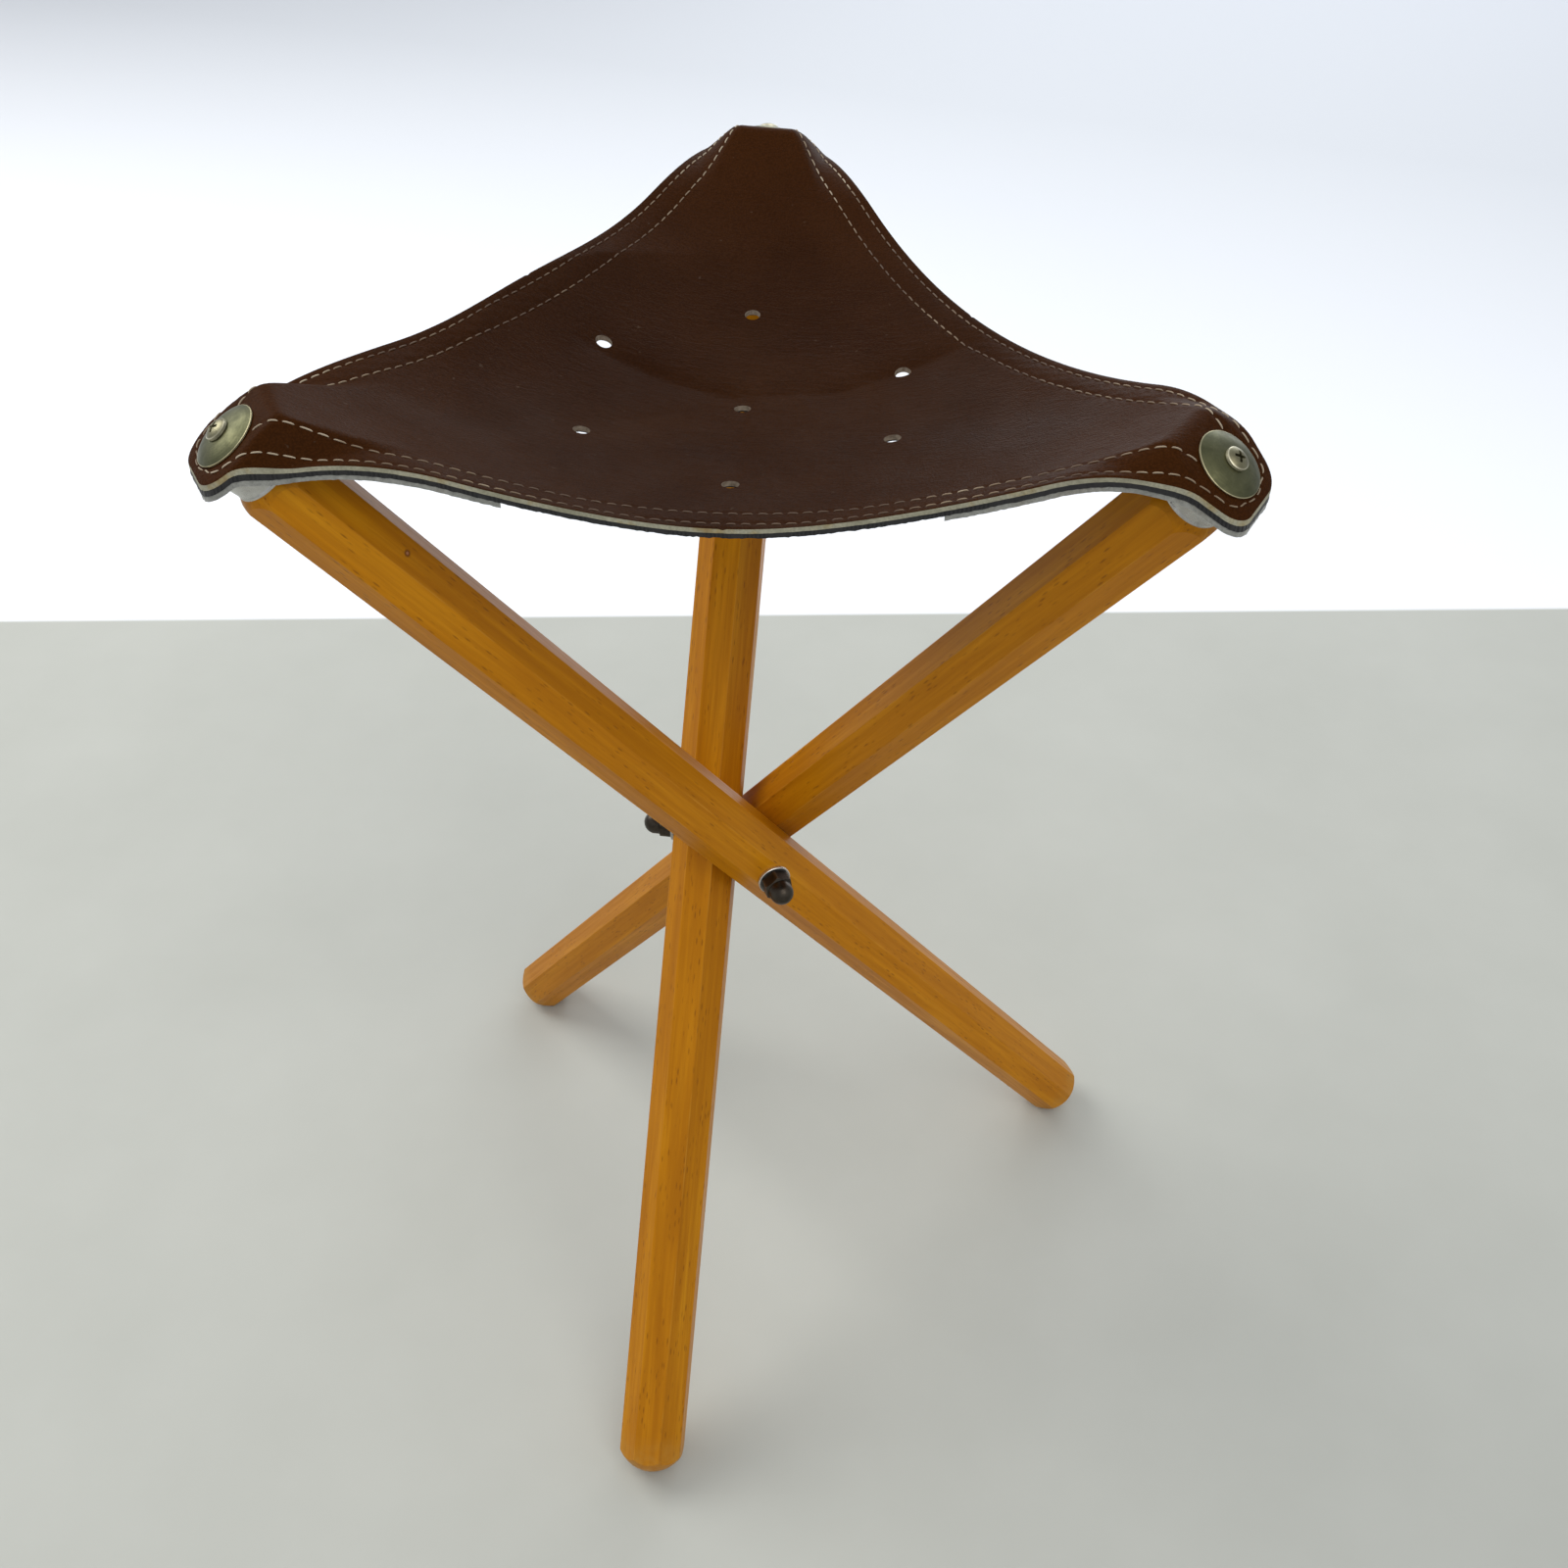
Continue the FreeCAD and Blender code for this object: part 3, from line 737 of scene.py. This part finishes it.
def beech_material(leg, seed):
    """Honey-brown varnished beech: long figure, fine dark flecks, a tone for each facet,
    rubbed edges, and a paler, scuffed foot."""
    material, tree, shader, place = begin("beech_" + leg.name, Coat_Weight=0.025,
                                          Coat_Roughness=0.25, Specular_IOR_Level=0.09)
    local = turned_to(tree, place, leg)
    parts = node(tree, "SeparateXYZ", Vector=local)
    x, y, z = parts.outputs
    shifted = node(tree, "Mapping", Vector=local,
                   Location=(seed * 3.7, seed * 1.3, seed * 2.1)).outputs[0]

    def stretched(across, along):
        return node(tree, "Mapping", Vector=shifted,
                    Scale=(across, across, along)).outputs[0]
    figure = grain(tree, stretched(85, 6.5), 1.0, 4, 0.55, 0.6)
    streak = grain(tree, stretched(420, 16), 1.0, 3, 0.6, 0.3)
    fine = grain(tree, stretched(1500, 60), 1.0, 2, 0.6)
    fleck = node(tree, "TexVoronoi", {"feature": "F1"}, Vector=stretched(640, 120),
                 Scale=1.0, Randomness=1.0).outputs["Distance"]
    flecks = maths(tree, "MULTIPLY", spread(tree, fleck, 0.30, 0.12),
                   spread(tree, grain(tree, stretched(120, 30), 1.0, 2), 0.42, 0.58))

    sector = maths(tree, "MULTIPLY", maths(tree, "ARCTAN2", y, x), 4 / math.pi)
    facet = maths(tree, "FLOOR", maths(tree, "ADD", sector, 0.5))
    own = node(tree, "TexWhiteNoise", {"noise_dimensions": "1D"},
               W=maths(tree, "ADD", maths(tree, "MODULO", maths(tree, "ADD", facet, 8.0), 8.0),
                       seed * 10.0)).outputs["Value"]
    from_edge = maths(tree, "ABSOLUTE", maths(
        tree, "SUBTRACT", maths(tree, "FRACT", sector), 0.5))

    honey = ramp(tree, figure, (0.28, (0.42, 0.148, 0.0025)), (0.5, (0.53, 0.200, 0.0040)),
                 (0.72, (0.62, 0.258, 0.0080)))
    streaked = blended(tree, spread(tree, streak, 0.36, 0.62, 0.0, 0.55), honey,
                       (0.39, 0.132, 0.0025, 1))
    flecked = blended(tree, maths(tree, "MULTIPLY", flecks, 0.62), streaked,
                      (0.19, 0.062, 0.004, 1))
    toned = shaded(tree, flecked, spread(tree, own, 0, 1, 0.86, 1.10))
    foot = maths(tree, "MULTIPLY", spread(tree, z, -0.318, -0.334),
                 spread(tree, grain(tree, stretched(160, 160), 1.0, 4), 0.38, 0.62, 0.25, 0.8))
    scuffed = blended(tree, foot, toned, (0.46, 0.22, 0.035, 1))
    rub = maths(tree, "MULTIPLY", spread(tree, from_edge, 0.035, 0.0),
                spread(tree, grain(tree, stretched(90, 40), 1.0, 3), 0.45, 0.65, 0.0, 0.35))
    worn = blended(tree, rub, scuffed, (0.66, 0.33, 0.045, 1))
    if leg.name == "a":
        away = distance(tree, local, KNOT)
        worn = blended(tree, spread(tree, away, 0.0019, 0.0009, 0.0, 0.85), worn,
                       (0.12, 0.030, 0.008, 1))
        worn = blended(tree, spread(tree, away, 0.0009, 0.0004), worn,
                       (0.40, 0.17, 0.075, 1))
    tree.links.new(worn, shader.inputs["Base Color"])
    tree.links.new(spread(tree, streak, 0.3, 0.7, 0.30, 0.42), shader.inputs["Roughness"])
    bump(tree, shader, (figure, 0.10, 0.0012), (fine, 0.12, 0.0002), (flecks, 0.25, -0.0002))
    return material


def metal_material(name, leg, base, dark, rough, bright=None, rim=None, rings=0.0,
                   across=False, wear=1.0):
    """Metal turned about a leg's centreline, or about its bolt arm if across: tarnish,
    turning marks, pits as deep as its wear, and a rim beyond a radius in metres that is
    rubbed bright."""
    material, tree, shader, place = begin(name, Metallic=1.0)
    local = node(tree, "SeparateXYZ", Vector=turned_to(tree, place, leg)).outputs
    x, y, z = (local[2], local[1], local[0]) if across else (local[0], local[1], local[2])
    radius = maths(tree, "SQRT", maths(tree, "ADD", maths(tree, "MULTIPLY", x, x),
                                      maths(tree, "MULTIPLY", y, y)))
    patina = grain(tree, place, 190, 5, 0.62, 0.4)
    colour = ramp(tree, patina, (0.32, dark), (0.66, base))
    if rim is not None:
        edge = maths(tree, "MULTIPLY", spread(tree, radius, rim[0], rim[1]),
                     spread(tree, grain(tree, place, 120, 2), 0.30, 0.50, 0.35, 1.0))
        colour = blended(tree, edge, colour, tuple(bright) + (1,))
    tree.links.new(colour, shader.inputs["Base Color"])
    tree.links.new(spread(tree, patina, 0.3, 0.7, rough + 0.12, rough),
                   shader.inputs["Roughness"])
    marks = maths(tree, "SINE", maths(tree, "MULTIPLY", maths(tree, "ADD", radius, z), 9000.0))
    pits = grain(tree, place, 1400, 3, 0.6)
    bump(tree, shader, (patina, 0.12 * wear, 0.0003), (pits, 0.14 * wear, 0.0001),
         (marks, rings, 0.00004))
    return material


def floor_material():
    """A pale matt floor that turns to a white backing sheet behind the stool. The sheet carries
    painted shade: it is coloured darker and bluer further back.
    """
    material, tree, shader, place = begin("studio_floor", Roughness=0.75)
    parts = node(tree, "SeparateXYZ", Vector=place).outputs
    back = maths(tree, "ADD", parts[1], maths(tree, "MULTIPLY", parts[0], BACK_SLANT))
    share = spread(tree, back, BACK_EDGE - 0.002, BACK_EDGE + 0.002)
    cloud = grain(tree, place, 7, 4, 0.6)
    grey = ramp(tree, cloud, (0.3, (0.455, 0.465, 0.425)), (0.7, (0.485, 0.495, 0.455)))
    # painted shade: the backing sheet is coloured darker and bluer further back, where less light
    # falls on it
    away = spread(tree, maths(tree, "ADD", back, maths(tree, "MULTIPLY", parts[0], 0.35)),
                  BACK_EDGE + 0.25, BACK_EDGE + 2.4)
    white = ramp(tree, away, (0.0, (0.88, 0.90, 0.94)), (0.5, (0.58, 0.60, 0.635)),
                 (1.0, (0.46, 0.475, 0.51)))
    tree.links.new(blended(tree, share, grey, white), shader.inputs["Base Color"])
    bump(tree, shader, (grain(tree, place, 300, 3), 0.05, 0.0005))
    return material


# ---------------------------------------------------------------- finishes of CAD nodes
def finish_node(name, material):
    obj = frame["nodes"][name]
    obj.data.materials.clear()
    obj.data.materials.append(material)


for number, (name, leg) in enumerate(sorted(legs.items())):
    finish_node("leg_" + name, beech_material(leg, 1.0 + number))
    finish_node("ferrule_" + name, metal_material(
        "ferrule_aluminium_" + name, leg, (0.56, 0.55, 0.53), (0.42, 0.41, 0.39), 0.20,
        bright=(0.86, 0.84, 0.78), rim=(0.0152, 0.0153), rings=0.25, wear=0.25))
    finish_node("cup_washer_" + name, metal_material(
        "aged_brass_" + name, leg, (0.118, 0.118, 0.062), (0.078, 0.080, 0.042), 0.38,
        bright=(0.60, 0.55, 0.34), rim=(0.01335, 0.01365), rings=0.15))
    finish_node("seat_screw_" + name, metal_material(
        "screw_brass_" + name, leg, (0.25, 0.235, 0.150), (0.16, 0.147, 0.09), 0.36,
        bright=(0.68, 0.64, 0.48), rim=(0.0042, 0.0046)))
    finish_node("nut_washer_" + name, metal_material(
        "washer_steel_" + name, leg, (0.34, 0.33, 0.31), (0.16, 0.15, 0.14), 0.36,
        bright=(0.78, 0.76, 0.72), rim=(0.0078, 0.0081), across=True))
    finish_node("cap_nut_" + name, metal_material(
        "black_nut_" + name, leg, (0.075, 0.062, 0.048), (0.035, 0.029, 0.024), 0.33,
        bright=(0.17, 0.145, 0.115), rim=(0.0070, 0.0075), across=True))
finish_node("three_way_bolt", metal_material(
    "bolt_steel", legs["a"], (0.34, 0.34, 0.34), (0.20, 0.19, 0.18), 0.42))

# ---------------------------------------------------------------- the seat
leather = leather_material()
raw_edge = raw_edge_material()
vent_wall = vent_wall_material()
lining = lining_material()
suede = suede_material()
thread = thread_material()

screw_hole = (pad_radius, 0.0, SCREW_HOLE)


def petal_plan(name, radius, seam_spacing, *settings):
    """Triangles of one leg's petal, with vent holes of a radius."""
    shared, inside = vents(name, radius)
    return plan(petal_boundary(name, seam_spacing, radius), *settings,
                holes=(*inside, screw_hole), notches=shared)


def bend(piece):
    """Bakes a petal's placement into its mesh."""
    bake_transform(piece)


patch_plan = plan(patch_boundary(1.3), 3.2, (1.1, 2.6, 5.5, 9.0), 2.6,
                  low_u=PATCH_INNER + 1.5, holes=(screw_hole,))
for number, (name, leg) in enumerate(sorted(legs.items())):
    fine_plan = petal_plan(
        name, VENT_RADIUS, 1.7, 2.4,
        (0.35, 0.9, 1.8, 2.8, 3.8, 4.8, 6.3, 8.2, 10.2, 11.8, 12.8, 13.8, 15.4), 2.1)
    coarse_plan = petal_plan(name, LINING_VENT, 1.2, 4.0, (0.8, 2.2, 5.0, 9.0, 13.5), 2.6)
    hide = layer("leather_petal_" + name, leg, fine_plan, 0.0, LEATHER_THICK, (0, 0), 0.16,
                 [leather, raw_edge, vent_wall], 1)
    under = layer("lining_petal_" + name, leg, coarse_plan, LINING_DEPTH,
                  LINING_DEPTH + LINING_THICK, LINING_SPLAY, 0.42, [lining] * 3, 5)
    patch = layer("suede_patch_" + name, leg, patch_plan, PATCH_DEPTH,
                  PATCH_DEPTH + PATCH_THICK, PATCH_SPLAY, 0.36, [suede] * 3, 9)
    thread_rows = stitches("stitching_" + name, leg, thread, 100 + number)
    for piece, slot in ((hide, "seat_leather"), (under, "black_lining"),
                        (patch, "grey_suede"), (thread_rows, "seat_thread")):
        bend(piece)
    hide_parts("seat_leather")
    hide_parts("seat_lining")
    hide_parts("corner_patch_" + name)

# ---------------------------------------------------------------- studio
BACK_EDGE = 0.5933               # where the floor turns white, behind the hub
BACK_SLANT = -0.1712
FLOOR_HALF = 6.0

floor_mesh = bpy.data.meshes.new("studio_floor")
floor_mesh.from_pydata([(-FLOOR_HALF, -FLOOR_HALF, 0), (FLOOR_HALF, -FLOOR_HALF, 0),
                        (FLOOR_HALF, FLOOR_HALF, 0), (-FLOOR_HALF, FLOOR_HALF, 0)],
                       [], [(0, 1, 2, 3)])
floor_mesh.materials.append(floor_material())
floor = bpy.data.objects.new("studio_floor", floor_mesh)
bpy.context.scene.collection.objects.link(floor)


def soft_light(name, place, aim, size, power, colour):
    """A large square light that shines from a place towards a point."""
    data = bpy.data.lights.new(name, "AREA")
    data.shape, data.size, data.energy, data.color = "SQUARE", size, power, colour
    light = bpy.data.objects.new(name, data)
    light.location = place
    light.rotation_euler = (Vector(aim) - Vector(place)).to_track_quat("-Z", "Y").to_euler()
    light.visible_camera = False
    bpy.context.scene.collection.objects.link(light)


soft_light("window", (-2.0, 0.7, 2.3), (0, 0, 0.3), 1.8, 46, (1.0, 0.985, 0.96))
soft_light("back_window", (0.5, 2.9, 1.3), (0, 0, 0.45), 2.4, 34, (0.92, 0.96, 1.0))
soft_light("room", (1.3, -1.7, 2.9), (0, 0, 0.3), 2.2, 32, (1.0, 0.97, 0.93))

world = bpy.data.worlds.new("studio")
world.use_nodes = True
world.node_tree.nodes["Background"].inputs["Color"].default_value = (0.93, 0.96, 1.0, 1)
world.node_tree.nodes["Background"].inputs["Strength"].default_value = 0.62
bpy.context.scene.world = world
bpy.context.scene.view_settings.view_transform = "Standard"

# The camera stands above and in front of the stool and looks down at it.
CAMERA_PLACE = Vector((0.1069, -0.6167, 0.8544))     # from the hub axis and the floor
CAMERA_HEADING, CAMERA_TILT, CAMERA_ROLL = 8.137, 49.047, 0.447

camera_data = bpy.data.cameras.new("camera")
camera_data.sensor_width = 36.0
camera_data.lens = 38.14
camera = bpy.data.objects.new("camera", camera_data)
bpy.context.scene.collection.objects.link(camera)
camera.matrix_world = (
    Matrix.Translation(CAMERA_PLACE + Vector((hub.x, hub.y, 0)))
    @ Matrix.Rotation(math.radians(CAMERA_HEADING), 4, "Z")
    @ Matrix.Rotation(math.radians(CAMERA_TILT), 4, "X")
    @ Matrix.Rotation(math.radians(CAMERA_ROLL), 4, "Z"))
bpy.context.scene.camera = camera
